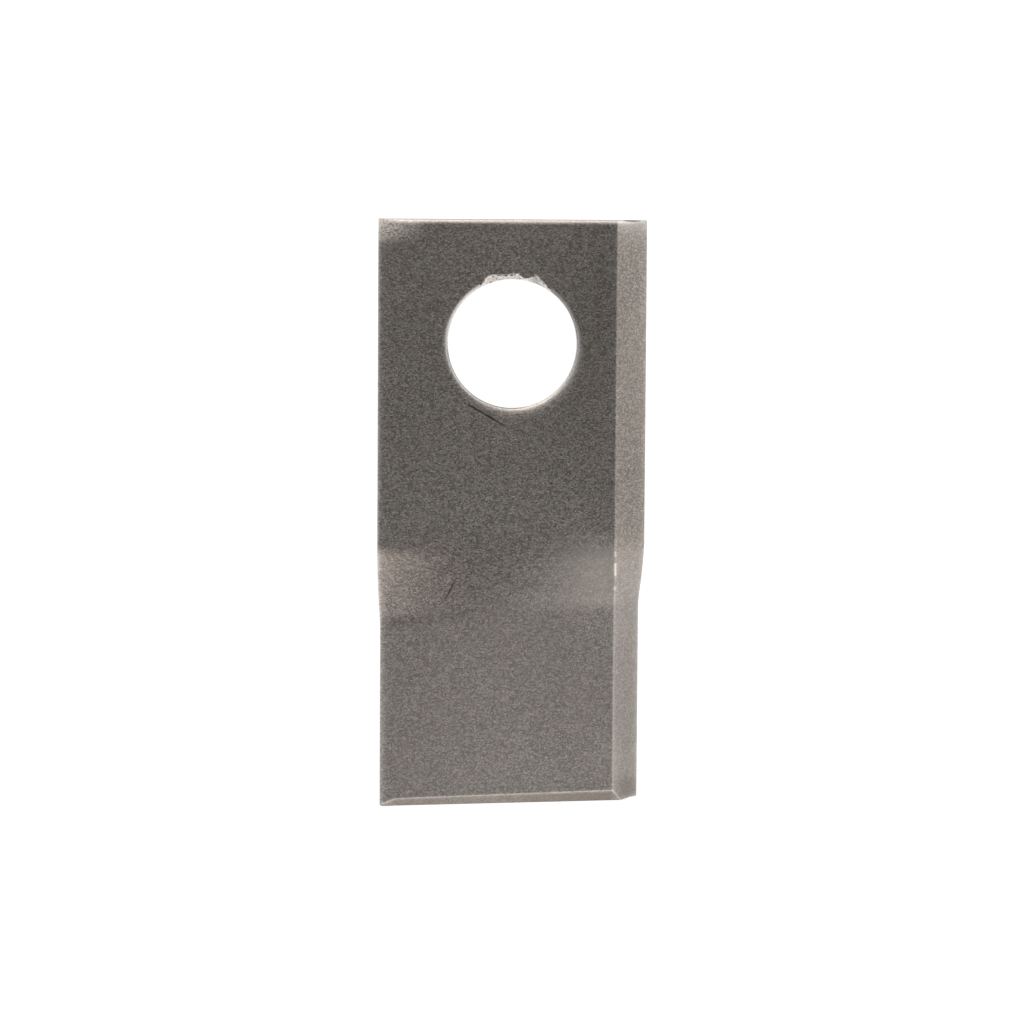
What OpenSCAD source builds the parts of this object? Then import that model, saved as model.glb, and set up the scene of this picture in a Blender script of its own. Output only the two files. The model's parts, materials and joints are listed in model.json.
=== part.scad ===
// Twisted knife of a rotary disc mower: one piece of spring steel strip,
// punched at one end, ground to a bevel on both long edges and twisted in a press.
// X runs across the blade, Y from the tip to the hole end, Z out of the front face.
// The origin is the centre of the bolt hole, halfway through the strip.

/* [Strip] */
// Length from the hole end to the tip
blade_length = 105; // [85:1:150]
// Width from one cutting edge to the other
blade_width = 48; // [40:1:64]
// Thickness of the strip
thickness = 4; // [3:0.25:6]

/* [Cutting edges] */
// Width of each ground bevel, measured across the blade
bevel_width = 5.3; // [3:0.05:9]
// Thickness of steel left standing at each cutting edge
edge_land = 0.35; // [0.2:0.05:1]

/* [Bolt hole] */
// Diameter of the punched hole
hole_diameter = 23; // [16:0.5:28]
// Distance from the hole end to the centre of the hole
hole_setback = 22.15; // [17:0.05:32]
// Size of the roll that the punch leaves round the front rim
rim_roll = 0.5; // [0.3:0.05:0.8]
// Depth of the torn stretch of the rim, on the side of the hole end
tear_depth = 1.6; // [1.2:0.1:2.2]

/* [Twist] */
// Angle that the tip is turned through, with the right-hand edge going back
twist_angle = 12.6; // [4:0.2:20]
// Distance from the centre of the hole to the line where the twist starts, along the middle
twist_start = 36.7; // [26:0.1:54]
// Distance between the lines where the twist starts and ends, along the middle
twist_length = 11.8; // [7:0.2:24]
// How much further from the hole the twist starts at the left-hand edge than in the middle
start_slant = 0.5; // [0:0.1:1]
// How much further from the hole the twist ends at the left-hand edge than in the middle
end_slant = 1.6; // [0:0.1:2]
// Length of the first bend on its hollow side
start_crease = 2.6; // [1:0.1:3]
// Length of the first bend on its full side
start_bend = 6.4; // [4:0.1:7]
// Length of the second bend on its hollow side
end_crease = 1.2; // [0.8:0.1:3]
// Length of the second bend on its full side
end_bend = 3.2; // [2:0.1:5]

/* [Ends] */
// Size of the rolled front edge at the hole end
end_roll = 0.8; // [0.4:0.05:1.4]
// Reach of the tip's chamfer along the blade, at the left-hand edge
chamfer_left = 1.35; // [0.6:0.05:2.5]
// Reach of the tip's chamfer along the blade, at the right-hand edge
chamfer_right = 2.1; // [0.6:0.05:3]
// Angle between the chamfer and the front face
chamfer_angle = 30; // [20:0.5:45]

/* [Hidden] */

steel = [0.42, 0.40, 0.38];
half_width = blade_width / 2;
half_thickness = thickness / 2;
hole_radius = hole_diameter / 2;
end_y = hole_setback;
tip_y = hole_setback - blade_length;

// Straight steps that stand for the curved surfaces
face_steps = 12;
bevel_steps = 2;
twist_steps = 28;
roll_steps = 4;

// Angle at which a rolled edge meets the two faces that it joins
roll_meets = 15;
// How far a cutting shape stands clear of the steel
clear = 1;

// Torn places in the front rim: angle round the hole, width, and reach past the hole's wall
rim_tears = [[61, 1.7, 0.8], [69, 2.1, 1.15], [94.5, 5, 1.1], [110, 1.9, 1.15]];

// Corners of half the section: the two ends of the front face, then the foot of the left-hand land.
// The other half is the same turned through 180 degrees, so the blade can be used either way up.
half_section = [
    [half_width - bevel_width, half_thickness],
    [-half_width, half_thickness],
    [-half_width, half_thickness - edge_land]
];
section = concat(half_section, -half_section);
side_steps = [face_steps, 1, bevel_steps, face_steps, 1, bevel_steps];
side_count = len(section);
ring = [
    for (i = [0:side_count - 1])
        for (k = [0:side_steps[i] - 1])
            mix(section[i], section[(i + 1) % side_count], k / side_steps[i])
];
ring_count = len(ring);

// Places along the blade where the section is set: the two ends, and steps through the twist
bend_y = start_bend / 2 + start_slant - twist_start;
bend_length = start_bend / 2 + start_slant + twist_length + end_slant + end_bend / 2;
stations = concat(
    [end_y],
    [for (j = [0:twist_steps]) bend_y - bend_length * j / twist_steps],
    [tip_y]
);
last = len(stations) - 1;

function mix(a, b, share) = a + (b - a) * share;

// 1 where a face swells out as the twist starts, 0 where it is hollow there
function fullness(p) = (1 + p[0] * p[1] / (half_width * half_thickness)) / 2;

// Share of the twist reached at a distance past its start, for a given span and lengths of its bends
function turned(past, span, bend_in, bend_out) =
    let (left = span - past)
    past < -bend_in / 2 ? 0
    : left < -bend_out / 2 ? 1
    : past < bend_in / 2 ? pow(past + bend_in / 2, 2) / (2 * bend_in * span)
    : left < bend_out / 2 ? 1 - pow(left + bend_out / 2, 2) / (2 * bend_out * span)
    : past / span;

// One point of the section, set at a station and turned about the length of the blade
function placed(p, y) =
    let (
        side = p[0] / half_width,
        past = start_slant * side - twist_start - y,
        span = twist_length + (start_slant - end_slant) * side,
        bend_in = mix(start_crease, start_bend, fullness(p)),
        bend_out = mix(end_bend, end_crease, fullness(p)),
        a = twist_angle * turned(past, span, bend_in, bend_out)
    )
    [p[0] * cos(a) + p[1] * sin(a), y, p[1] * cos(a) - p[0] * sin(a)];

// Index of a ring point at a station
function at(i, j) = j * ring_count + (i + ring_count) % ring_count;

// Two triangles for each step round the section, from every station to the next
side_faces = [
    for (j = [0:last - 1])
        for (i = [0:ring_count - 1])
            each [
                [at(i, j), at(i, j + 1), at(i + 1, j + 1)],
                [at(i, j), at(i + 1, j + 1), at(i + 1, j)]
            ]
];

// Each end is closed in steps, from the left-hand land to the right-hand one
function end_face(k, j) = [
    at(face_steps - k, j),
    at(face_steps + 1 + k, j),
    at(face_steps + 2 + k, j),
    at(face_steps - 1 - k, j)
];
function flipped(face) = [for (i = [len(face) - 1:-1:0]) face[i]];
end_faces = [
    for (k = [0:ring_count / 2 - 2])
        each [end_face(k, 0), flipped(end_face(k, last))]
];

module twisted_strip() {
    polyhedron(
        points = [for (y = stations) for (p = ring) placed(p, y)],
        faces = concat(side_faces, end_faces),
        convexity = 4
    );
}

// Profile that cuts a corner to a roll: the steel lies right of the Y axis and below the X axis
module roll_cutter(size) {
    roll_radius = size / (cos(roll_meets) - sin(roll_meets));
    inset = roll_radius * cos(roll_meets);
    sweep = 90 - 2 * roll_meets;
    roll = [
        for (k = [0:roll_steps])
            let (a = 180 - roll_meets - sweep * k / roll_steps)
            [inset + roll_radius * cos(a), roll_radius * sin(a) - inset]
    ];
    polygon(concat([[-clear, -size]], roll, [[size, clear], [-clear, clear]]));
}

module bolt_hole() {
    cylinder(h = thickness + 2 * clear, r = hole_radius, center = true, $fn = 128);
    rotate_extrude($fn = 128)
        translate([hole_radius, half_thickness])
            roll_cutter(rim_roll);
}

// One torn place, sloping from the front face down to the wall of the hole
module rim_tear(angle, width, reach) {
    slope = tear_depth / reach;
    rotate([0, 0, angle])
        translate([hole_radius, 0, half_thickness])
            rotate([90, 0, 0])
                linear_extrude(width, center = true)
                    polygon([
                        [-clear, -tear_depth - clear * slope],
                        [reach + clear / slope, clear],
                        [-clear, clear]
                    ]);
}

module rolled_end() {
    translate([0, end_y, half_thickness])
        rotate([90, 0, -90])
            linear_extrude(blade_width + 2 * clear, center = true)
                roll_cutter(end_roll);
}

// The chamfer is askew: it widens from the left-hand edge to the right-hand one
module tip_chamfer() {
    skew = atan2(chamfer_right - chamfer_left, blade_width);
    reach = mix(chamfer_left, chamfer_right, 0.5);
    rotate([0, twist_angle, 0])
        translate([0, tip_y + reach, half_thickness])
            rotate([0, 0, skew])
                rotate([chamfer_angle, 0, 0])
                    translate([-blade_width, -blade_width, 0])
                        cube([2 * blade_width, 2 * blade_width, blade_width]);
}

module blade() {
    color(steel)
        difference() {
            twisted_strip();
            bolt_hole();
            for (t = rim_tears) rim_tear(t[0], t[1], t[2]);
            rolled_end();
            tip_chamfer();
        }
}

blade();
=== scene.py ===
"""Looks of the rotary mower blade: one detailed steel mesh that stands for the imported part.

Sizes are in millimetres while the mesh is made, and it is scaled to metres at the end.
X runs across the blade, Y from the tip to the hole end, Z out of the front face.
"""

import json
import math
from types import SimpleNamespace

import bpy
import numpy as np
from mathutils import Matrix, Vector, noise


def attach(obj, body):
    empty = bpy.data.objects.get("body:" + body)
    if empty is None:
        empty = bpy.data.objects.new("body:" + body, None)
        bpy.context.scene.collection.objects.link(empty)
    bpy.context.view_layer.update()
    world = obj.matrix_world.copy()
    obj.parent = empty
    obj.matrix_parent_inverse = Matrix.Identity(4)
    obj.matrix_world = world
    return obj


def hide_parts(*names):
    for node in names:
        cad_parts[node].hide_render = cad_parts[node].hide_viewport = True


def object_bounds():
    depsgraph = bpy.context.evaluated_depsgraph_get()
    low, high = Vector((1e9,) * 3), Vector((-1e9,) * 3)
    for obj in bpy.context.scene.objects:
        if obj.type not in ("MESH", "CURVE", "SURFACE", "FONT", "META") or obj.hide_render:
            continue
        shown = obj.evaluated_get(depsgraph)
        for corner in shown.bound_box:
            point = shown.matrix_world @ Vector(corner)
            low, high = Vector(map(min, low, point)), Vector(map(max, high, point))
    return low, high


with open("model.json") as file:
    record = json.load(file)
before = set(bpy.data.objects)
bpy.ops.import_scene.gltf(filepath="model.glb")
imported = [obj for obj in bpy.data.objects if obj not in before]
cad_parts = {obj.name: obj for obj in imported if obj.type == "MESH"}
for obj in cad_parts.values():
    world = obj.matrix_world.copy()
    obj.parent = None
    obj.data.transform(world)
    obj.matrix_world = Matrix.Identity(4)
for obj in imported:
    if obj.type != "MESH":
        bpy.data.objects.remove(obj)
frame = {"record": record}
cad_low, cad_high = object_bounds()

MM = 0.001
NEAR = 1e-6
mounts = {mount["name"]: mount for mount in frame["record"]["mounts"]}

# Sizes that the frame gives
HALF_WIDTH = cad_high.x / MM
END_Y = cad_high.y / MM
TIP_Y = cad_low.y / MM
HALF_THICK = mounts["front_seat"]["pos_m"][2] / MM
HOLE_RADIUS = mounts["bolt_hole"]["dims"]["r_mm"]

# Section of the strip: a bevel on the front right and its copy, turned over, on the back left
BEVEL_WIDTH = 5.3
EDGE_LAND = 0.35
EDGE_ROUND = 0.06
RIDGE_BLEND = 0.16
RIDGE_X = HALF_WIDTH - BEVEL_WIDTH
BEVEL_SLOPE = (2 * HALF_THICK - EDGE_LAND) / BEVEL_WIDTH

# Wear of the long edges: the left one is rolled over, and the bevel is crowned toward its edge
SOFT_EDGE = 1.0
SOFT_EDGE_DROP = 0.12
CROWN = 1.8
CROWN_DROP = 0.1

# Twist of the tip: its first and second bend are slanted, and tighter on their hollow side
TWIST_ANGLE = math.radians(12.6)
TWIST_START = 36.4
TWIST_LENGTH = 11.7
TWIST_END_Y = -TWIST_START - TWIST_LENGTH
START_SLANT = 0.5
END_SLANT = 1.6
START_BENDS = (2.6, 8.0)
END_BENDS = (2.0, 3.6)
BEVEL_CREASE = 2.0

# Rolled hole end, with the corner that was knocked down. A turn of 1 would end upright.
END_ROLL = 1.1
END_DROP = 0.7
END_TURN = 0.96
CORNER_SIZE = (9.4, 5.2)
CORNER_DROP = 0.5
CORNER_EASE = 1.6

# Chamfer of the tip, which runs out at the left corner
CHAMFER_LEFT = 1.35
CHAMFER_RIGHT = 2.1
CHAMFER_ANGLE = math.radians(30)
CHAMFER_BLEND = 0.1
RUN_OUT_WIDTH = 3.2
RUN_OUT_SHARE = 0.4
LEAST_CHAMFER = 0.03

# Corners of the tip: the left one is rounded off, the right one worn back from one distance to another
TIP_ROUND = 0.8
TIP_ROUND_DEPTH = 0.56
TIP_TURN = 0.9
TIP_WORN = 0.28
TIP_WORN_FROM = 3.4
TIP_WORN_TO = 1.2

# Rim of the punched hole, rolled wider at two angles
RIM_ROLL = 0.8
RIM_WIDEST = 2.8
RIM_WIDE_WAY = math.radians(295)
RIM_WIDE_EASE = 1.5
RIM_SIDE = 0.35
RIM_SIDE_WAY = math.radians(203)
RIM_SIDE_EASE = 4
RIM_DROP = 0.5
RIM_WIDE_DROP = 0.8

# Painted highlight of the rolled rim, partly bright wear, and how it eases off outward: usual, and where
# the rim is widest
RIM_WEAR_AND_HIGHLIGHT = (1, 0.55)
RIM_WEAR_AND_HIGHLIGHT_EASE = (0.8, 1.1)

# Painted shade as a dark inner line of the rim, with a painted highlight as a bright ring outside it:
# degrees between which it starts and ends
LIP_START = (174, 190)
LIP_END = (292, 272)
LIP_WIDTH = 0.26
LIP_SHADE = 0.75
RING_PLACE = 0.42
RING_WIDTH = 0.22
RING_HIGHLIGHT = 0.95

# Torn stretch of the rim as (angle, reach past the wall), and the reach at which it counts as torn
TORN_RIM = [
    (53, 0), (57, 0.35), (65, 1.09), (70, 1.48), (73.8, 1.57), (74.6, 0.94), (78.8, 0.2),
    (84.7, 0.97), (86, 1.19), (93.7, 0.88), (98.5, 0.99), (105.6, 1.32), (110, 1.44),
    (113.7, 0.95), (117.8, 0.32), (120, 0),
]
TORN_REACH = (0.05, 0.3)
LEAST_REACH = 0.12
TEAR_EASE = 0.85
TEAR_ROUGH_SHARE = 0.8
TEAR_BRIGHT_SHARE = 0.4

# Wall of the hole: shares of the depth between which it breaks out, and degrees that stand for a millimetre
WALL_BREAK = (0.4, 0.6)
WALL_DEGREES = 6
BACK_TAPER = 0.14

# Burr round the back rim, and the share of its width over which it rises
BURR_HEIGHT = 0.09
BURR_WIDTH = 0.5
BURR_RISE = (-0.1, 0.12)

# Scratch below the hole and nick in the twist: two ends, width and depth
SCRATCHES = [
    ((-8.54, -10.5), (-0.64, -15.0), 0.14, 0.06),
    ((-10.3, -42.6), (-12.1, -46.0), 0.14, 0.05),
]
SCRATCH_TAPERS = (0.2, 0.6)
SCRATCH_LEAST = 0.3
SCRATCH_DARK_DEPTH = 0.045
NICK_COLUMNS = (-12.6, -9.9)

# Painted highlight on the ridge, partly bright wear: where it clears below the twist, and painted glints in
# the twist (foot, top, strength)
RIDGE_CLEAR = -45.0
RIDGE_CLEAR_FADE = 0.4
RIDGE_LINE = 0.24
RIDGE_FAINT = 0.12
RIDGE_GLINTS = [(-38.1, -37.1, 0.6), (-41.6, -39.3, 1.0), (-44.4, -43.6, 0.6)]
GLINT_FADE = 0.2

# Bright wear of the left and the right edge, painted highlight with some wear on the rolled hole end, on
# the face and on the bevel, and painted shade at the very end
EDGE_WEAR = (0.7, 0.35)
EDGE_FADE = 0.4
END_FADES = (0.4, 1.5)
END_FADE_STEP = 0.3
END_CUT_SHADE = 0.2

# Scuffs of the knocked corner and of the left edge, which has fewer before the twist ends
CORNER_SCUFF_EASE = 1.1
SCUFF_SHARE = 0.35
SCUFF_FADE = 2

# Painted shade of a dark chip at the end of the bevel, measured from the ridge and from the end
CHIP_START = 0.9
CHIP_LENGTH = 3.3
CHIP_DEPTH = 0.42
CHIP_RIM_DEPTH = 0.001
CHIP_LEAST = 0.05
CHIP_SHADE = 0.8

# Brown stain on the bevel at the tip, and a darkening of the chamfer, between distances from the tip, from
# the ridge and from the line of the chamfer
STAIN_TOP = (5.4, 2.4)
STAIN_FOOT = (0.2, 1.4)
STAIN_ACROSS = (0.4, 2.2)
CHAMFER_DARKENING = (-0.15, -0.6)
CHAMFER_DARKENING_SHARES = (0.3, 0.8)
CHAMFER_DARKENING_LEFT = -10

# Painted highlight as a bright line where the chamfer starts, past which the other wear and highlights fade
# out
LINE_WIDTH = 0.12
LINE_FADE = (-0.25, 0)

# Smoother steel: from the start of the twist on its right, then on the tip, its bevel and chamfer
SMOOTH_FROM = 1
SMOOTH_ACROSS = (4, 12)
SMOOTH_TIP = 0.3
SMOOTH_TIP_FADE = 2
SMOOTH_BEVEL = 0.8
SMOOTH_CHAMFER = (0, -0.2)

# Soft patches of the front where the steel is a little lighter or darker, and painted highlights over the
# twist: middle, reach and amount
PATCHES = [
    ((12, 0), (7, 22), -0.17),
    ((-18, 2), (9, 20), -0.08),
    ((21.5, -27), (4, 13), -0.13),
    ((-23, -40), (7, 4), 0.14),
    ((-2, -78), (20, 19), 0.14),
    ((-2, -30), (22, 7), 0.08),
    ((16.3, 10), (2.6, 14), -0.13),
    ((15, -39), (7, 6), 0.2),
    ((-3, -43), (9, 5), 0.1),
    ((16, -50), (5, 4), 0.14),
    ((17, -76), (3.5, 5), 0.12),
    ((22, -70), (3, 16), -0.12),
]

# Unevenness: mean, spread, size of the bumps in millimetres or in degrees round the hole, and seed
WAVES = (0, 0.02, 13, 3)
SCRATCH_SHARES = (0.85, 0.4, 1.2, 9)
TEAR_DEPTHS = (1.6, 0.3, 3, 5)
TEAR_BUMPS = (0, 0.12, 0.45, 7)
TEAR_TEETH = (0, 0.15, 2.2, 11)
TEAR_SPLINTERS = (0, 0.09, 0.9, 12)
WALL_BREAKS = (0, 0.12, 9, 21)
WALL_BUMPS = (0, 0.03, 2.5, 22)
BURR_HEIGHTS = (0.7, 0.5, 14, 31)
EDGE_SHARES = (1, 0.6, 2.5, 42)
RIDGE_SHARES = (0.2, 0.2, 1.6, 43)
SCUFF_SHARES = (1, 0.4, 2.5, 44)
LINE_SHARES = (0.58, 0.4, 1.8, 45)

# Mesh spacing: the square round the hole is filled with rings, set at shares of the way
WINDOW = 16
RING_EDGE = 15
WINDOW_SHARES = (0.3, 0.6, 0.85, 1)
FRONT_RINGS = 24
BACK_RINGS = 6
RIM_SHARES = (0.88, 0.75, 0.62, 0.5, 0.38, 0.27, 0.17, 0.09, 0.03, 0)
WALL_SHARES = (0.12, 0.25, 0.38, 0.5, 0.62, 0.75, 0.88)
BURR_SHARES = (0, 0.12, 0.3, 0.6)
LAND_STEPS = 6
RIDGE_ZONE = 0.35
BEND_MARGIN = 0.4
NICK_STEP = 0.13
NICK_GAP = 0.1
TIP_ZONE = 3.6
TO_CHAMFER_SHARES = (0.2, 0.4, 0.6, 0.8, 0.9, 0.95, 0.98, 1)
PAST_CHAMFER_SHARES = (0.05, 0.12, 0.3, 0.5, 0.7, 0.85, 1)
SHARP_ANGLE = math.radians(38)

# Noises of the steel: bumps to a metre, octaves and roughness. Pits are cells, and have only the first.
GRAIN = (3900, 2, 0.6)
STREAK = (1300, 3, 0.6)
CLOUD = (70, 3, 0.55)
HUE = (380, 2, 0.5)
SPECK = (3900, 1, 0.5)
FLAKE = (1700, 3, 0.5)
PITS = 4400

# Grain and streaks are drawn out across the blade, and the tone is a sum of grain, pits and streaks
GRAIN_SQUEEZE = (0.75, 1, 1)
STREAK_SQUEEZE = (0.5, 1, 1)
TONE_SHARES = (0.52, 0.33, 0.15)
TONE_RANGE = (0.25, 0.8)
TONE_POWER = 1.7

# Colours of the steel, with those that paint its highlights and shade
DARK_GRAIN = (0.25, 0.239, 0.229)
BRIGHT_GRAIN = (0.715, 0.684, 0.655)
EVEN_GREY = (0.345, 0.33, 0.322)
CLOUD_GREY = (0.42, 0.4, 0.375)
GREEN_TINT = (0.99, 1.0, 0.985)
PINK_TINT = (1.025, 0.992, 1.005)
SPECK_GREY = (0.84, 0.81, 0.78)
STAIN_BROWN = (0.19, 0.165, 0.145)
SCUFF_GREY = (0.88, 0.85, 0.82)
# Worn grey is also the colour of the painted highlights
WORN_AND_HIGHLIGHT_GREY = (0.89, 0.885, 0.885)
# Cut faces are dark sheared steel, and partly painted shade
DARK_CUT_SHADE = (0.13, 0.122, 0.117)
BRIGHT_CUT_SHADE = (0.24, 0.225, 0.216)
DARK_TEAR = (0.74, 0.7, 0.695)
BRIGHT_TEAR = (1.0, 0.97, 0.96)
FLECK_GREY = (0.13, 0.115, 0.11)
# Dirt grey also paints the shade of the rim's inner line and of the chip
DIRT_AND_SHADE_GREY = (0.05, 0.046, 0.042)

# Strength of the evened grain, and of the stain and the chamfer's darkening
EVEN_SHARE = 0.45
STAIN_SHARE = 0.5

# Ranges of noises and marks in the steel, and what they are mapped to where that isn't 0 to 1
CLOUD_RANGE = (0.35, 0.7, 0, 0.2)
TINT_RANGE = (0.35, 0.65)
SPECK_RANGE = (0.7, 0.76)
FEWER_SPECKS = (0, 1, 0.8, 0.2)
SCUFF_RANGE = (0.35, 0.62, 0.3, 1.9)
WORN_AND_HIGHLIGHT_RANGE = (0.3, 0.6, 0.6, 1)
FLAKE_RANGE = (0.35, 0.65, 0.1, 2.0)
TEAR_TONES = (0.3, 0.6)
TEAR_BORDER = (0.12, 0.3)
FLECK_RISE = (0.05, 0.25)
FLECK_FALL = (0.95, 0.7)
FLECK_RANGE = (0.46, 0.38)
ROUGH_RANGE = (0.3, 0.7, 0.42, 0.48)
BUMP_RANGE = (0, 1, 0.65, 0.3)

# Roughness that wear takes off, and that scuffs and the tear add
WORN_ROUGH = -0.16
SCUFF_ROUGH = 0.25
TEAR_ROUGH = 0.2

# Height of the steel's bumps, and share of the specks in it
BUMP_HEIGHT = 0.08
SPECK_SHARE = 0.3

# Camera, fitted to the photograph
CAMERA_PLACE = (18.479, 8.86, 574.229)
CAMERA_TURN = (-3.897, 1.824, 0.494)
CAMERA_LENS = 112.56
CAMERA_SENSOR = 36
CAMERA_CLIP = 10

# Light tent: its colour at angles in degrees from the dark way above, and soft lobes of light
TENT_DARK_WAY = (0.03, 0.24, 1)
TENT_STOPS = [
    (90, (0.19, 0.186, 0.182)), (75, (0.16, 0.155, 0.15)), (58, (0.53, 0.5, 0.455)),
    (42, (0.54, 0.58, 0.61)), (28, (0, 0, 0)), (0, (0, 0, 0)),
]
TENT_LOBES = [
    ((-0.45, 0.85, 0.2), 8, (2.0, 1.85, 1.7)),
    ((0, 1, 0.35), 4, (0.54, 0.43, 0.38)),
    ((0.7, -0.7, 0.2), 4, (1.06, 0.95, 0.86)),
    ((0.8, 0.6, 0.05), 12, (1.4, 1.3, 1.2)),
]

# Floor: the blade lies on its back left face and on the low corner of its tip
REST_TILT = math.radians(7.1)
REST_POINT = (-18.55, 0, -HALF_THICK)
FLOOR_GAP = 0.05
FLOOR_RADIUS = 9000
FLOOR_SIDES = 96
FLOOR_GREY = (0.6, 0.6, 0.6)
FLOOR_ROUGH = 0.9
FLOOR_GLOW = 0.83


def soft_min(a, b, blend):
    """The lower of two heights, with the corner between them rounded over a blend."""
    near = np.clip(blend - np.abs(a - b), 0, None) / blend
    return np.minimum(a, b) - near ** 2 * blend / 4


def smooth(low, high, value):
    """0 at low, 1 at high, held beyond them and eased between."""
    share = np.clip((value - low) / (high - low), 0, 1)
    return share * share * (3 - 2 * share)


def mix(a, b, share):
    return a + (b - a) * share


def rounded(share, turn=1):
    """Fall of a rounded corner as a share goes from 0 to 1. With a turn of 1 it ends upright."""
    return 1 - np.sqrt(1 - turn * share ** 2)


def uneven(x, y, mean, spread, size, seed):
    """Smooth noise about a mean, with bumps of about a given size."""
    places = np.stack(np.broadcast_arrays(x / size, y / size), axis=-1)
    flat = [noise.noise((u, v, seed)) for u, v in places.reshape(-1, 2)]
    return mean + spread * np.array(flat).reshape(places.shape[:-1])


def spaced(stops, end):
    """Values from the first stop to the end, each stretch (start, spacing) with its own spacing."""
    ends = [start for start, step in stops[1:]] + [end]
    parts = [
        np.linspace(start, stop, max(1, round(abs(stop - start) / step)), endpoint=False)
        for (start, step), stop in zip(stops, ends)
    ]
    return np.append(np.concatenate(parts), end)


def along(start, end, x, y):
    """Distance from a line between two points, and how far along it, from 0 to 1."""
    dx, dy = end[0] - start[0], end[1] - start[1]
    share = ((x - start[0]) * dx + (y - start[1]) * dy) / (dx * dx + dy * dy)
    near = np.clip(share, 0, 1)
    return np.hypot(x - start[0] - near * dx, y - start[1] - near * dy), near


def around(radius, angle):
    """Places on a ring round the hole."""
    return radius * np.cos(angle), radius * np.sin(angle)


# Heights of the flat blade, before it is twisted

def section_height(x):
    """Front of the section: flat, rounded over into the bevel, with small rounds at both edges."""
    bevel = HALF_THICK - (x - RIDGE_X) * BEVEL_SLOPE
    inset = np.clip(1 - (HALF_WIDTH - np.abs(x)) / EDGE_ROUND, 0, 1)
    return soft_min(HALF_THICK, bevel, RIDGE_BLEND) - EDGE_ROUND * rounded(inset)


def edge_drop(x):
    """How far wear has lowered the front next to the two long edges."""
    rolled = SOFT_EDGE_DROP * np.clip(1 - (HALF_WIDTH + x) / SOFT_EDGE, 0, 1) ** 3
    return rolled + CROWN_DROP * np.clip(1 - (HALF_WIDTH - x) / CROWN, 0, 1) ** 2


def chamfer_reach(x):
    """How far the chamfer reaches from the tip, measured on the front face."""
    share = (x + HALF_WIDTH) / (2 * HALF_WIDTH)
    run_out = mix(RUN_OUT_SHARE, 1, smooth(0, RUN_OUT_WIDTH, x + HALF_WIDTH))
    return mix(CHAMFER_LEFT, CHAMFER_RIGHT, share) * run_out


def tip_line(x):
    """Outline of the tip: straight, with its left corner rounded off and its right corner worn back."""
    inset = np.clip(1 - (x + HALF_WIDTH) / TIP_ROUND, 0, 1)
    worn_back = TIP_WORN * smooth(HALF_WIDTH - TIP_WORN_FROM, HALF_WIDTH - TIP_WORN_TO, x)
    return TIP_Y + TIP_ROUND_DEPTH * rounded(inset, TIP_TURN) + worn_back


def chamfer_line(x):
    """Where along the blade the chamfer meets the front."""
    below = HALF_THICK - section_height(x)
    line = TIP_Y + chamfer_reach(x) - below / math.tan(CHAMFER_ANGLE)
    return np.maximum(line, tip_line(x) + LEAST_CHAMFER)


def end_drop(x, y):
    """How far the front is rolled down at the hole end, less where the bevel has left it thin."""
    share = (section_height(x) + section_height(-x)) / (2 * HALF_THICK)
    near = np.clip(1 - (END_Y - y) / END_ROLL, 0, 1)
    return share * END_DROP * rounded(near, END_TURN) / rounded(1, END_TURN)


def corner_share(x, y):
    """1 at the knocked corner of the hole end, falling to 0 away from it."""
    away = np.hypot((x + HALF_WIDTH) / CORNER_SIZE[0], (END_Y - y) / CORNER_SIZE[1])
    return np.clip(1 - away, 0, 1)


def bent(x, y):
    """Height added to both faces: the strip's gentle waves, less the knocked corner."""
    return uneven(x, y, *WAVES) - CORNER_DROP * corner_share(x, y) ** CORNER_EASE


def scratch_depth(x, y):
    """Depth of the scratches, with the ends tapered."""
    depth = 0
    for start, end, width, deep in SCRATCHES:
        away, share = along(start, end, x, y)
        taper = smooth(0, SCRATCH_TAPERS[0], share) * smooth(1, SCRATCH_TAPERS[1], share)
        taper = mix(SCRATCH_LEAST, 1, taper * uneven(x, y, *SCRATCH_SHARES))
        depth = depth + deep * np.exp(-(away / width) ** 2) * taper
    return depth


def front_height(x, y):
    chamfer = HALF_THICK - (TIP_Y + chamfer_reach(x) - y) * math.tan(CHAMFER_ANGLE)
    z = soft_min(section_height(x), chamfer, CHAMFER_BLEND)
    return z + bent(x, y) - edge_drop(x) - end_drop(x, y) - scratch_depth(x, y)


def back_height(x, y):
    return bent(x, y) - section_height(-x)


# Twist

def ramp(past, bend):
    """A corner from level to a slope of one, rounded over the length of a bend."""
    return np.where(np.abs(past) < bend / 2, (past + bend / 2) ** 2 / (2 * bend), np.maximum(past, 0))


def twisted(points, is_front):
    """The flat points turned about the blade's length, tight on the hollow side of each bend."""
    x, y, z = points.T
    on_bevel = smooth(0, BEVEL_CREASE, np.where(is_front, x, -x) - RIDGE_X)
    fullness = (1 + x * z / (HALF_WIDTH * HALF_THICK)) / 2
    bend_in = mix(*START_BENDS, fullness * (1 - on_bevel))
    bend_out = mix(*END_BENDS, 1 - fullness)
    side = x / HALF_WIDTH
    past = START_SLANT * side - TWIST_START - y
    span = TWIST_LENGTH + (START_SLANT - END_SLANT) * side
    turn = TWIST_ANGLE * (ramp(past, bend_in) - ramp(past - span, bend_out)) / span
    return np.stack([x * np.cos(turn) + z * np.sin(turn), y, z * np.cos(turn) - x * np.sin(turn)], 1)


# Mesh

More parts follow.
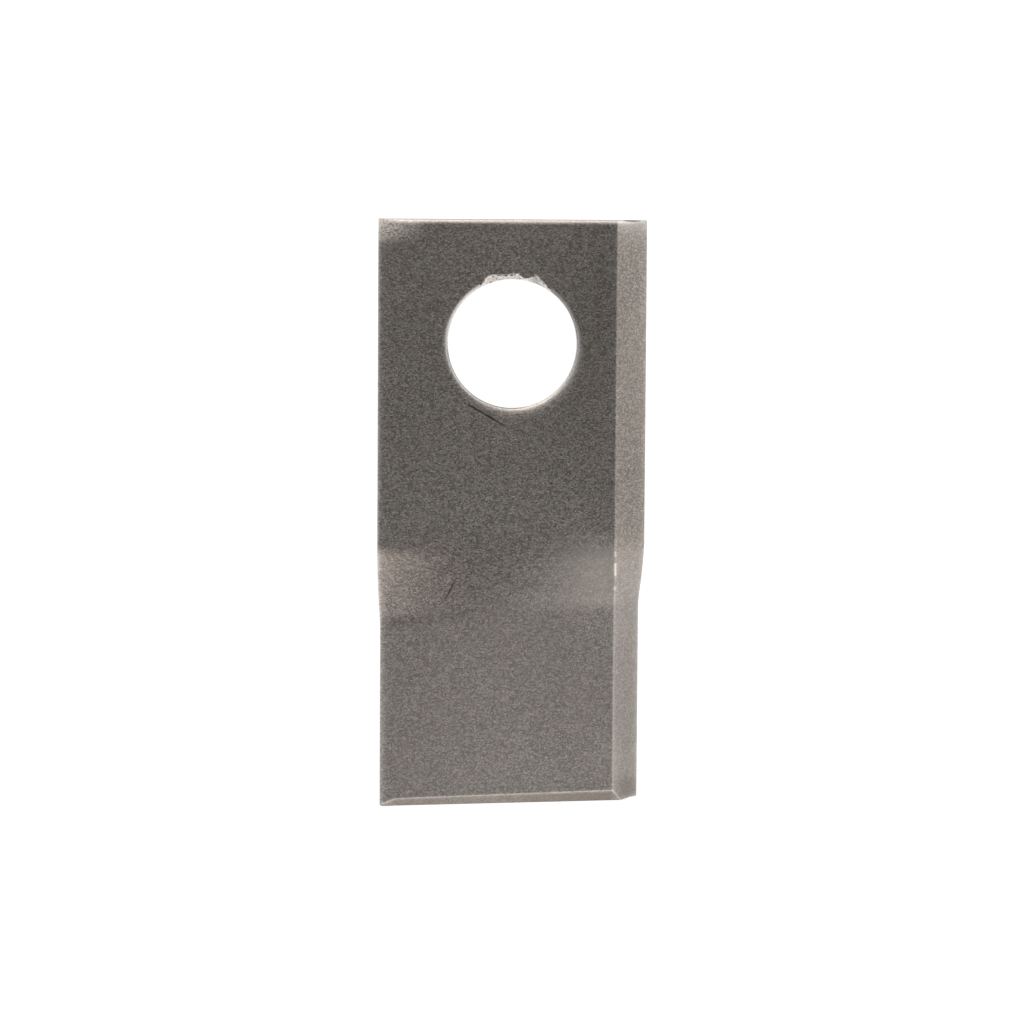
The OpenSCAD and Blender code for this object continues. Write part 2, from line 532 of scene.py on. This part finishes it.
class Shell:
    """Points and faces of the flat blade. Each point also says how far it is cut, torn, worn or dirty, and
    where painted highlights and shade ride on those marks.
    """

    def __init__(self):
        self.points = []
        self.marks = []
        self.faces = []
        self.count = 0

    def add(self, x, y, z, front=0, cut=0, tear=0, wear=0, dirt=0):
        """Adds points given as arrays of one shape, and returns their numbers in that shape."""
        x, y, z, *marks = np.broadcast_arrays(x, y, z, front, cut, tear, wear, dirt)
        self.points.append(np.stack([x, y, z], axis=-1).reshape(-1, 3))
        self.marks.append(np.stack(marks, axis=-1).reshape(-1, len(marks)))
        numbers = self.count + np.arange(x.size).reshape(x.shape)
        self.count += x.size
        return numbers

    def fill(self, numbers, flip=False, keep=None):
        """Adds a quad for each cell of a grid of point numbers."""
        corners = [numbers[:-1, :-1], numbers[1:, :-1], numbers[1:, 1:], numbers[:-1, 1:]]
        quads = np.stack(corners, axis=-1)
        quads = quads.reshape(-1, 4) if keep is None else quads[keep]
        self.faces.append(quads[:, ::-1] if flip else quads)

    def finished(self):
        """Points, marks and faces, without the points that no face uses."""
        points, marks = np.concatenate(self.points), np.concatenate(self.marks)
        faces = np.concatenate(self.faces)
        used = np.unique(faces)
        renumber = np.zeros(len(points), int)
        renumber[used] = np.arange(len(used))
        return points[used], marks[used], renumber[faces]


def columns():
    """Places across the blade, close together at the ridges, at the edges and at the nick."""
    half = spaced([
        (0, 0.45), (WINDOW, 0.5), (RIDGE_X - RIDGE_ZONE, 0.07), (RIDGE_X + RIDGE_ZONE, 0.5),
        (HALF_WIDTH - CROWN, 0.2), (HALF_WIDTH - SOFT_EDGE, 0.12), (HALF_WIDTH - EDGE_ROUND, 0.02),
    ], HALF_WIDTH)
    even = np.concatenate([-half[:0:-1], half])
    close = spaced([(NICK_COLUMNS[0], NICK_STEP)], NICK_COLUMNS[1])
    apart = (even < close[0] - NICK_GAP) | (even > close[-1] + NICK_GAP)
    return np.sort(np.concatenate([even[apart], close]))


def rows(x):
    """Places along the blade for each column, close together at the ends and in the twist."""
    twist_top = max(START_BENDS) / 2 + START_SLANT - TWIST_START + BEND_MARGIN
    twist_foot = TWIST_END_Y - END_SLANT - max(END_BENDS) / 2 - BEND_MARGIN
    tip_zone = TIP_Y + TIP_ZONE
    straight = spaced([
        (END_Y, 0.08), (END_Y - END_ROLL, 0.4), (WINDOW, 0.4), (-WINDOW, 0.65),
        (twist_top, 0.25), (twist_foot, 0.65),
    ], tip_zone)
    line = chamfer_line(x)
    to_line = [mix(tip_zone, line, share) for share in TO_CHAMFER_SHARES]
    past_line = [mix(line, tip_line(x), share) for share in PAST_CHAMFER_SHARES]
    return np.vstack([np.repeat(straight[:, None], len(x), 1), *to_line, *past_line])


def add_faces(shell, x, y):
    """Front and back, open round the hole. Returns their heights and their point numbers."""
    heights = front_height(x, y), back_height(x, y)
    # Painted shade on the faces at the very hole end, carried as cut steel
    cut = smooth(END_CUT_SHADE, 0, END_Y - y)
    front = shell.add(x, y, heights[0], front=1, cut=cut)
    back = shell.add(x, y, heights[1], cut=cut)
    hole = (np.abs(x) < WINDOW - NEAR) & (np.abs(y) < WINDOW - NEAR)
    keep = ~(hole[:-1, :-1] | hole[1:, 1:] | hole[:-1, 1:] | hole[1:, :-1])
    shell.fill(front, keep=keep)
    shell.fill(back, flip=True, keep=keep)
    return heights, (front, back)


def add_strip(shell, x, y):
    """Front, back, lands and ends. Returns the point numbers of the front and of the back."""
    x = np.broadcast_to(x, y.shape)
    (z_front, z_back), (front, back) = add_faces(shell, x, y)
    share = np.arange(1, LAND_STEPS) / LAND_STEPS
    lands = {}
    for side in (0, -1):
        z_land = mix(z_front[:, side, None], z_back[:, side, None], share)
        land = shell.add(x[:, side, None], y[:, side, None], z_land)
        lands[side] = np.hstack([front[:, side, None], land, back[:, side, None]])
        shell.fill(lands[side], flip=side == 0)
    for end in (0, -1):
        z_end = mix(z_front[end], z_back[end], share[:, None])[:, 1:-1]
        # The end faces are dark cut steel, partly painted shade
        inner = shell.add(x[end, 1:-1], y[end, 1:-1], z_end, cut=1)
        middle = np.hstack([lands[0][end, 1:-1, None], inner, lands[-1][end, 1:-1, None]])
        shell.fill(np.vstack([front[end], middle, back[end]]), flip=end == 0)
    return front, back


def window_border(x, y, numbers):
    """Point numbers and places on the edge of the window, in order of angle."""
    x = np.broadcast_to(x, y.shape)
    reach = np.maximum(np.abs(x), np.abs(y))
    edge = np.abs(reach - WINDOW) < NEAR
    order = np.argsort(np.arctan2(y[edge], x[edge]))
    return numbers[edge][order], x[edge][order], y[edge][order]


def torn_rim(angle):
    """Reach of the torn rim past the wall of the hole, and how far the rim counts as torn."""
    degrees = np.degrees(angle)
    reach = np.interp(degrees, *zip(*TORN_RIM))
    torn = smooth(*TORN_REACH, reach)
    ragged = uneven(degrees, 0, *TEAR_TEETH) + uneven(degrees, 0, *TEAR_SPLINTERS)
    return reach + ragged * torn, torn


def toward(angle, way, ease):
    """1 at one way round the hole, falling to 0 a quarter turn from it."""
    return np.clip(np.cos(angle - way), 0, 1) ** ease


def rim_width(angle):
    """Width of the rolled or torn rim, how far it counts as torn, and how far as widest."""
    reach, torn = torn_rim(angle)
    wide = toward(angle, RIM_WIDE_WAY, RIM_WIDE_EASE)
    rolled = mix(RIM_ROLL, RIM_WIDEST, wide) + RIM_SIDE * toward(angle, RIM_SIDE_WAY, RIM_SIDE_EASE)
    return mix(rolled, np.maximum(reach, LEAST_REACH), torn), torn, wide


def lip_share(angle):
    """1 along the stretch of the rim that has a dark inner line of painted shade."""
    degrees = np.degrees(angle) % 360
    return smooth(*LIP_START, degrees) * smooth(*LIP_END, degrees)


def add_face_rings(shell, border, height, rim, steps, **marks):
    """Rings from the window's square edge to the rim. Returns their point numbers, outside first."""
    numbers, x, y = border
    angle = np.arctan2(y, x)
    edge_x, edge_y = around(RING_EDGE, angle)
    places = [(mix(x, edge_x, share), mix(y, edge_y, share)) for share in WINDOW_SHARES]
    for step in range(1, steps + 1):
        places.append(around(mix(RING_EDGE, rim, step / steps), angle))
    return [numbers] + [shell.add(*place, height(*place), **marks) for place in places]


def rim_marks(angle, share):
    """How far the rim is torn, and its painted highlight with some wear and its painted shade, at a share
    of its width.
    """
    width, torn, wide = rim_width(angle)
    lip = lip_share(angle)
    out = share * width
    ring = RING_HIGHLIGHT * lip * (1 - wide) * np.exp(-((out - RING_PLACE) / RING_WIDTH) ** 2)
    wear = mix(*RIM_WEAR_AND_HIGHLIGHT, wide) * (1 - share) ** mix(*RIM_WEAR_AND_HIGHLIGHT_EASE, wide)
    return {
        "tear": torn * smooth(1, TEAR_BRIGHT_SHARE, share),
        "wear": (1 - torn) * np.maximum(wear, ring),
        "dirt": LIP_SHADE * lip * smooth(LIP_WIDTH, 0, out),
    }


def add_front_rim(shell, angle, rings):
    """The rolled rim, and the torn stretch of it. Returns the height of its foot."""
    width, torn, wide = rim_width(angle)
    torn_depth = uneven(np.degrees(angle), 0, *TEAR_DEPTHS)
    depth = mix(mix(RIM_DROP, RIM_WIDE_DROP, wide), torn_depth, torn)
    for share in RIM_SHARES:
        across, up = around(HOLE_RADIUS + width * share, angle)
        fall = mix(rounded(1 - share), (1 - share) ** TEAR_EASE, torn)
        rough = uneven(across, up, *TEAR_BUMPS) * torn * smooth(1, TEAR_ROUGH_SHARE, share)
        z = front_height(across, up) - depth * fall + rough
        rings.append(shell.add(across, up, z, front=1, **rim_marks(angle, share)))
    return z


def add_wall(shell, angle, top, rings):
    """Wall of the hole: smooth where the punch sheared it, then broken out and wider to the back."""
    degrees = np.degrees(angle)
    for share in WALL_SHARES:
        z = mix(top, -HALF_THICK, share)
        depth = (HALF_THICK - z) / (2 * HALF_THICK)
        broken = smooth(*WALL_BREAK, depth + uneven(degrees, z, *WALL_BREAKS))
        rough = uneven(degrees, z * WALL_DEGREES, *WALL_BUMPS) * broken
        across, up = around(HOLE_RADIUS + BACK_TAPER * broken * depth + rough, angle)
        # The sheared band is bright, partly a painted highlight; the broken band is dark, partly painted
        # shade
        rings.append(shell.add(across, up, z, cut=broken, wear=1 - broken))


def add_back_rim(shell, angle, rings):
    """Small burr that the punch left round the back rim."""
    height = BURR_HEIGHT * uneven(np.degrees(angle), 0, *BURR_HEIGHTS)
    for share in BURR_SHARES:
        across, up = around(HOLE_RADIUS + BACK_TAPER + BURR_WIDTH * share, angle)
        z = back_height(across, up) - height * (1 - share) ** 2 * smooth(*BURR_RISE, share)
        rings.append(shell.add(across, up, z, cut=1 - share))


def add_hole(shell, x, y, front, back):
    """Rings from the front window, over the rim, down the wall and out over the back window."""
    border = window_border(x, y, front)
    angle = np.arctan2(border[2], border[1])
    rim = HOLE_RADIUS + rim_width(angle)[0]
    rings = add_face_rings(shell, border, front_height, rim, FRONT_RINGS, front=1)
    top = add_front_rim(shell, angle, rings)
    add_wall(shell, angle, top, rings)
    add_back_rim(shell, angle, rings)
    back_rim = HOLE_RADIUS + BACK_TAPER + BURR_WIDTH
    out = add_face_rings(shell, window_border(x, y, back), back_height, back_rim, BACK_RINGS)
    grid = np.vstack(rings + out[::-1])
    shell.fill(np.hstack([grid, grid[:, :1]]), flip=True)


# Marks of wear, and painted highlights and shade, which the steel's material reads

def ridge_wear_and_highlight(side_x, y):
    """Painted highlight along the ridge, partly bright wear: faint above the twist, in painted glints
    through it and clear below it.
    """
    line = np.exp(-((side_x - RIDGE_X) / RIDGE_LINE) ** 2)
    clear = smooth(RIDGE_CLEAR + RIDGE_CLEAR_FADE, RIDGE_CLEAR - RIDGE_CLEAR_FADE, y)
    bright = RIDGE_FAINT + uneven(0, y, *RIDGE_SHARES) * clear
    for foot, top, strength in RIDGE_GLINTS:
        above_foot = smooth(foot - GLINT_FADE, foot + GLINT_FADE, y)
        bright = bright + strength * above_foot * smooth(top + GLINT_FADE, top - GLINT_FADE, y)
    return line * bright


def edge_wear(x, y):
    """Bright cutting edges, worn unevenly."""
    strength = np.where(x < 0, *EDGE_WEAR)
    return np.exp(-(HALF_WIDTH - np.abs(x)) / EDGE_FADE) * strength * uneven(0, y, *EDGE_SHARES)


def scuffs(x, y):
    """Dull bright places: the knocked corner, and the left edge, most of all past the twist."""
    past_twist = smooth(TWIST_END_Y + SCUFF_FADE, TWIST_END_Y - SCUFF_FADE, y)
    on_edge = np.exp(-(HALF_WIDTH + x) / EDGE_FADE) * uneven(0, y, *SCUFF_SHARES)
    on_corner = corner_share(x, y) ** CORNER_SCUFF_EASE
    return np.clip(on_corner + mix(SCUFF_SHARE, 1, past_twist) * on_edge, 0, 1)


def end_wear_and_highlight(x, y):
    """Painted highlight on the rolled hole end, partly bright wear, wider on the bevel."""
    on_bevel = smooth(RIDGE_X - END_FADE_STEP, RIDGE_X + END_FADE_STEP, x)
    return np.exp(-(END_Y - y) / mix(*END_FADES, on_bevel))


def line_highlight(x, to_line):
    """Painted highlight as a bright line where the chamfer of the tip starts."""
    return uneven(x, 0, *LINE_SHARES) * np.exp(-(to_line / LINE_WIDTH) ** 2)


def chip_shade(x, y):
    """Painted shade of a dark chip at the very end of the bevel, deepest in its middle."""
    share = np.clip((x - RIDGE_X - CHIP_START) / CHIP_LENGTH, 0, 1)
    depth = CHIP_DEPTH * np.sqrt(4 * share * (1 - share)) + CHIP_RIM_DEPTH
    return CHIP_SHADE * (depth > CHIP_LEAST) * smooth(depth, depth / 2, END_Y - y)


def tip_stain_and_darkening(x, y):
    """Brown stain on the bevel next to the tip, and a darkening of the chamfer that deepens to the right.
    """
    on_bevel = smooth(*STAIN_TOP, y - TIP_Y) * smooth(*STAIN_FOOT, y - TIP_Y)
    on_bevel = on_bevel * smooth(*STAIN_ACROSS, x - RIDGE_X)
    deeper = mix(*CHAMFER_DARKENING_SHARES, smooth(CHAMFER_DARKENING_LEFT, RIDGE_X, x))
    on_chamfer = smooth(*CHAMFER_DARKENING, y - chamfer_line(x)) * deeper
    return np.maximum(on_bevel, on_chamfer * (x < RIDGE_X))


def patch_tones_and_highlights(x, y):
    """How much lighter or darker the steel is than its mean, with painted highlights over the twist."""
    tone = 0 * x
    for (mid_x, mid_y), (reach_x, reach_y), amount in PATCHES:
        tone = tone + amount * np.exp(-((x - mid_x) / reach_x) ** 2 - ((y - mid_y) / reach_y) ** 2)
    return tone


def smooth_places(side_x, y):
    """Where press and wheel left less grain: the right of the twist, and the tip, its bevel and chamfer."""
    past_start = smooth(-TWIST_START + SMOOTH_FROM, -TWIST_START - SMOOTH_FROM, y)
    past_end = smooth(TWIST_END_Y + SMOOTH_TIP_FADE, TWIST_END_Y, y)
    on_face = mix(smooth(*SMOOTH_ACROSS, side_x), SMOOTH_TIP, past_end)
    on_chamfer = smooth(*SMOOTH_CHAMFER, y - chamfer_line(side_x))
    return past_start * np.where(side_x > RIDGE_X, SMOOTH_BEVEL, np.maximum(on_face, on_chamfer))


def surface_marks(points, marks, is_front):
    """Where the flat blade is patchy, stained, scuffed, smooth, worn, dirty, cut and torn, with painted
    highlights on the patches and wear, and painted shade on the dirt and cut marks.
    """
    x, y = points[:, 0], points[:, 1]
    _, cut, tear, wear, dirt = marks.T
    side_x = np.where(is_front, x, -x)
    to_line = y - chamfer_line(x)
    before_line = np.where(is_front, smooth(*LINE_FADE, to_line), 1)
    worn_and_highlit = (ridge_wear_and_highlight(side_x, y) + edge_wear(x, y)) * before_line
    worn_and_highlit = worn_and_highlit + is_front * (line_highlight(x, to_line) + end_wear_and_highlight(x, y))
    # Scratches darker the deeper they are, and the painted shade of the chip at the bevel's end
    groove = is_front * (scratch_depth(x, y) / SCRATCH_DARK_DEPTH + chip_shade(x, y))
    return {
        "patch": patch_tones_and_highlights(x, y) * is_front,
        "stain": tip_stain_and_darkening(x, y) * is_front,
        "scuff": scuffs(x, y) * is_front,
        "smooth": smooth_places(side_x, y),
        "wear": np.clip(worn_and_highlit * (1 - tear) + wear, 0, 1),
        "dirt": np.clip(groove + dirt, 0, 1),
        "cut": cut,
        "tear": tear,
    }


def blade_mesh():
    shell = Shell()
    x = columns()
    y = rows(x)
    front, back = add_strip(shell, x, y)
    add_hole(shell, x, y, front, back)
    points, marks, faces = shell.finished()
    is_front = marks[:, 0] == 1
    mesh = bpy.data.meshes.new("mower_blade")
    mesh.from_pydata(twisted(points, is_front) * MM, [], faces.tolist())
    for name, values in surface_marks(points, marks, is_front).items():
        layer = mesh.attributes.new(name, "FLOAT", "POINT")
        layer.data.foreach_set("value", values.astype(np.float32))
    mesh.shade_smooth()
    mesh.set_sharp_from_angle(angle=SHARP_ANGLE)
    mesh.validate()
    return mesh


# Nodes of the materials

def make_node(tree, kind, values=None, links=None, **settings):
    """Adds a shader node, sets its options and sockets, and links the sockets that are given."""
    made = tree.nodes.new(kind)
    for name, value in settings.items():
        setattr(made, name, value)
    for name, value in (values or {}).items():
        made.inputs[name].default_value = value
    for name, socket in (links or {}).items():
        tree.links.new(socket, made.inputs[name])
    return made


def feed(tree, socket, value):
    """Links a socket to another one, or sets it to a number or a colour."""
    if isinstance(value, bpy.types.NodeSocket):
        tree.links.new(value, socket)
    else:
        socket.default_value = (*value, 1) if isinstance(value, tuple) else value


def mark_of(tree, name):
    return make_node(tree, "ShaderNodeAttribute", attribute_name=name).outputs["Fac"]


def noise_of(tree, place, scale, detail, rough):
    values = {"Scale": scale, "Detail": detail, "Roughness": rough}
    return make_node(tree, "ShaderNodeTexNoise", values, {"Vector": place}).outputs["Fac"]


def cells_of(tree, place, scale):
    """A random value for each of many small pits."""
    cells = make_node(tree, "ShaderNodeTexVoronoi", {"Scale": scale}, {"Vector": place}).outputs["Color"]
    return make_node(tree, "ShaderNodeSeparateColor", links={"Color": cells}).outputs["Red"]


def squeezed(tree, place, scale):
    """Places scaled along each axis, so that a noise is drawn out along some."""
    made = make_node(tree, "ShaderNodeMapping", {"Scale": scale}, {"Vector": place})
    return made.outputs["Vector"]


def ranged(tree, value, low, high, to_low=0.0, to_high=1.0):
    """A value's range mapped to another, and held at its ends."""
    values = {"From Min": low, "From Max": high, "To Min": to_low, "To Max": to_high}
    return make_node(tree, "ShaderNodeMapRange", values, {"Value": value}).outputs["Result"]


def maths(tree, operation, a, b):
    made = make_node(tree, "ShaderNodeMath", operation=operation)
    feed(tree, made.inputs[0], a)
    feed(tree, made.inputs[1], b)
    return made.outputs[0]


def times(tree, a, b):
    return maths(tree, "MULTIPLY", a, b)


def plus_share(tree, value, added, share):
    """A value plus a share of another."""
    return maths(tree, "ADD", value, times(tree, added, share))


def colour_mix(tree, share, a, b, blend="MIX"):
    """Two colours mixed by a share; each may be a colour or a socket."""
    made = make_node(tree, "ShaderNodeMix", data_type="RGBA", blend_type=blend)
    for socket, value in zip((made.inputs[0], made.inputs[6], made.inputs[7]), (share, a, b)):
        feed(tree, socket, value)
    return made.outputs[2]


def scaled(tree, colour, factor):
    links = {0: colour, "Scale": factor}
    return make_node(tree, "ShaderNodeVectorMath", links=links, operation="SCALE").outputs["Vector"]


# Steel

def steel_values(tree):
    """Noises and marks, as sockets, that the layers of the steel share."""
    place = make_node(tree, "ShaderNodeTexCoord").outputs["Object"]
    across = squeezed(tree, place, GRAIN_SQUEEZE)
    grain = noise_of(tree, across, *GRAIN)
    streak = noise_of(tree, squeezed(tree, place, STREAK_SQUEEZE), *STREAK)
    tone = times(tree, grain, TONE_SHARES[0])
    tone = plus_share(tree, tone, cells_of(tree, across, PITS), TONE_SHARES[1])
    tone = plus_share(tree, tone, streak, TONE_SHARES[2])
    noises = {"cloud": CLOUD, "hue": HUE, "speck": SPECK, "flake": FLAKE}
    values = {name: noise_of(tree, place, *settings) for name, settings in noises.items()}
    for name in ("patch", "stain", "scuff", "smooth", "wear", "dirt", "cut", "tear"):
        values[name] = mark_of(tree, name)
    bright = maths(tree, "POWER", ranged(tree, tone, *TONE_RANGE), TONE_POWER)
    return SimpleNamespace(grain=grain, tone=tone, bright=bright, **values)


def bare_colour(tree, steel):
    """Steel before it is worn: grain, less of it in smooth places, clouds, tints, patches with painted
    highlights over the twist, and specks.
    """
    colour = colour_mix(tree, steel.bright, DARK_GRAIN, BRIGHT_GRAIN)
    colour = colour_mix(tree, times(tree, steel.smooth, EVEN_SHARE), colour, EVEN_GREY)
    colour = colour_mix(tree, ranged(tree, steel.cloud, *CLOUD_RANGE), colour, CLOUD_GREY)
    tint = colour_mix(tree, ranged(tree, steel.hue, *TINT_RANGE), GREEN_TINT, PINK_TINT)
    colour = colour_mix(tree, 1.0, colour, tint, "MULTIPLY")
    colour = scaled(tree, colour, maths(tree, "ADD", steel.patch, 1.0))
    fewer = ranged(tree, steel.smooth, *FEWER_SPECKS)
    specked = times(tree, ranged(tree, steel.speck, *SPECK_RANGE), fewer)
    return colour_mix(tree, specked, colour, SPECK_GREY)


def worn_and_painted_light_colour(tree, steel, colour):
    """Stains, scuffs, bright wear and painted highlights over a colour, and the dark grain of cut faces,
    partly painted shade, in its place.
    """
    colour = colour_mix(tree, times(tree, steel.stain, STAIN_SHARE), colour, STAIN_BROWN)
    scuffed = times(tree, steel.scuff, ranged(tree, steel.tone, *SCUFF_RANGE))
    colour = colour_mix(tree, scuffed, colour, SCUFF_GREY)
    worn_and_highlit = times(tree, steel.wear, ranged(tree, steel.grain, *WORN_AND_HIGHLIGHT_RANGE))
    colour = colour_mix(tree, worn_and_highlit, colour, WORN_AND_HIGHLIGHT_GREY)
    cut = colour_mix(tree, steel.bright, DARK_CUT_SHADE, BRIGHT_CUT_SHADE)
    return colour_mix(tree, steel.cut, colour, cut)


def torn_colour(tree, steel, colour):
    """Bright, ragged tear over a colour, with dark flecks where it is partly torn."""
    ragged = times(tree, steel.tear, ranged(tree, steel.flake, *FLAKE_RANGE))
    torn = colour_mix(tree, ranged(tree, steel.grain, *TEAR_TONES), DARK_TEAR, BRIGHT_TEAR)
    colour = colour_mix(tree, ranged(tree, ragged, *TEAR_BORDER), colour, torn)
    partly = times(tree, ranged(tree, steel.tear, *FLECK_RISE), ranged(tree, steel.tear, *FLECK_FALL))
    fleck = times(tree, partly, ranged(tree, steel.flake, *FLECK_RANGE))
    return colour_mix(tree, fleck, colour, FLECK_GREY)


def steel_roughness(tree, steel):
    rough = ranged(tree, steel.tone, *ROUGH_RANGE)
    rough = plus_share(tree, rough, steel.wear, WORN_ROUGH)
    rough = plus_share(tree, rough, steel.scuff, SCUFF_ROUGH)
    return plus_share(tree, rough, steel.tear, TEAR_ROUGH)


def steel_bump(tree, steel):
    """Bumps of the grain and the specks, weaker on the tear."""
    height = plus_share(tree, steel.tone, steel.speck, SPECK_SHARE)
    strength = ranged(tree, steel.tear, *BUMP_RANGE)
    links = {"Height": height, "Strength": strength}
    return make_node(tree, "ShaderNodeBump", {"Distance": BUMP_HEIGHT * MM}, links).outputs["Normal"]


def steel_material():
    """Shot-blasted, tempered steel: warm dark grey, with a fine grain, bright specks and worn edges, and
    painted highlights and shade in its colour.
    """
    material = bpy.data.materials.new("blasted_steel")
    material.use_nodes = True
    tree = material.node_tree
    steel = steel_values(tree)
    colour = worn_and_painted_light_colour(tree, steel, bare_colour(tree, steel))
    colour = torn_colour(tree, steel, colour)
    # Dirt, and the painted shade of the rim's inner line and of the chip
    colour = colour_mix(tree, steel.dirt, colour, DIRT_AND_SHADE_GREY)
    shader = tree.nodes["Principled BSDF"]
    shader.inputs["Metallic"].default_value = 1
    tree.links.new(colour, shader.inputs["Base Color"])
    tree.links.new(steel_roughness(tree, steel), shader.inputs["Roughness"])
    tree.links.new(steel_bump(tree, steel), shader.inputs["Normal"])
    return material


# Stage

def floor_material():
    """Pale table top, lit from within a little so that it stays near white."""
    material = bpy.data.materials.new("pale_floor")
    material.use_nodes = True
    shader = material.node_tree.nodes["Principled BSDF"]
    shader.inputs["Base Color"].default_value = (*FLOOR_GREY, 1)
    shader.inputs["Roughness"].default_value = FLOOR_ROUGH
    shader.inputs["Specular IOR Level"].default_value = 0.0
    shader.inputs["Emission Color"].default_value = (1, 1, 1, 1)
    shader.inputs["Emission Strength"].default_value = FLOOR_GLOW
    return material


def add_floor():
    """A round floor under the resting blade."""
    turns = [2 * math.pi * k / FLOOR_SIDES for k in range(FLOOR_SIDES)]
    radius = FLOOR_RADIUS * MM
    corners = [(radius * math.cos(turn), radius * math.sin(turn), 0) for turn in turns]
    mesh = bpy.data.meshes.new("floor")
    mesh.from_pydata(corners, [], [range(FLOOR_SIDES)])
    mesh.materials.append(floor_material())
    floor = bpy.data.objects.new("floor", mesh)
    tilt = Matrix.Rotation(REST_TILT, 4, "Y")
    gap = tilt @ Vector((0, 0, -FLOOR_GAP * MM))
    floor.matrix_world = Matrix.Translation(Vector(REST_POINT) * MM + gap) @ tilt
    bpy.context.scene.collection.objects.link(floor)


def facing(tree, direction, way):
    """Cosine of the angle between a direction and a way, and 0 behind it."""
    dot = make_node(
        tree, "ShaderNodeVectorMath", {1: Vector(way).normalized()}, {0: direction}, operation="DOT_PRODUCT"
    ).outputs["Value"]
    return maths(tree, "MAXIMUM", dot, 0.0)


def tent_rings(tree, direction):
    """Colour of the tent by the angle from its dark way."""
    share = facing(tree, direction, TENT_DARK_WAY)
    made = make_node(tree, "ShaderNodeValToRGB", links={"Fac": share})
    elements = made.color_ramp.elements
    while len(elements) < len(TENT_STOPS):
        elements.new(0.5)
    for element, (angle, colour) in zip(elements, TENT_STOPS):
        element.position = max(0, math.cos(math.radians(angle)))
        element.color = (*colour, 1)
    return made.outputs["Color"]


def add_world():
    """A light tent that is dark straight above, where the camera looks in."""
    world = bpy.data.worlds.new("light_tent")
    world.use_nodes = True
    bpy.context.scene.world = world
    tree = world.node_tree
    direction = make_node(tree, "ShaderNodeTexCoord").outputs["Generated"]
    light = tent_rings(tree, direction)
    for way, narrowness, colour in TENT_LOBES:
        share = maths(tree, "POWER", facing(tree, direction, way), narrowness)
        light = colour_mix(tree, 1.0, light, colour_mix(tree, share, (0, 0, 0), colour), "ADD")
    tree.links.new(light, tree.nodes["Background"].inputs["Color"])


def add_camera():
    data = bpy.data.cameras.new("camera")
    data.lens = CAMERA_LENS
    data.sensor_width = CAMERA_SENSOR
    data.clip_start = CAMERA_CLIP * MM
    camera = bpy.data.objects.new("camera", data)
    turn = Matrix.Identity(4)
    for angle, axis in zip(CAMERA_TURN, "XYZ"):
        turn = turn @ Matrix.Rotation(math.radians(angle), 4, axis)
    camera.matrix_world = Matrix.Translation(Vector(CAMERA_PLACE) * MM) @ turn
    bpy.context.scene.collection.objects.link(camera)
    bpy.context.scene.camera = camera


def add_blade():
    blade = bpy.data.objects.new("mower_blade", blade_mesh())
    blade.data.materials.append(steel_material())
    bpy.context.scene.collection.objects.link(blade)
    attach(blade, "root")
    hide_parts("blade")


add_blade()
add_floor()
add_world()
add_camera()
bpy.context.scene.view_settings.view_transform = "Standard"
